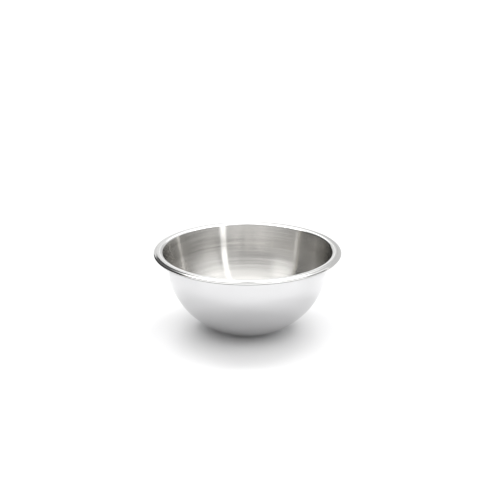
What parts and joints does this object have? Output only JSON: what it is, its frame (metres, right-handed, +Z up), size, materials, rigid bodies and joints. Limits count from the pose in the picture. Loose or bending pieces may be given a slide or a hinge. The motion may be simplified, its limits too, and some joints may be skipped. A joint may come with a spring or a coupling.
{
  "type": "hemispherical mixing bowl",
  "caption": "Round-bottomed steel mixing bowl: a spun hemispherical shell with a small flat base, a short straight top to its wall and a wide, low-crowned rim whose edge is rolled around a stiffening wire.",
  "frame": {"origin": "centre of the flat base, on the table", "axes": "+Z up along the bowl's axis of symmetry, out of its mouth; X and Y are alike because the bowl is round"},
  "size_m": [0.2271, 0.2272, 0.101],
  "materials": {
    "steel_sheet": "brushed round the inside, satin outside, polished rim",
    "steel_wire": "drawn wire, plain"
  },
  "bodies": {
    "root": {"bowl_shell": "steel_sheet", "rim_wire": "steel_wire"}
  },
  "joints": []
}
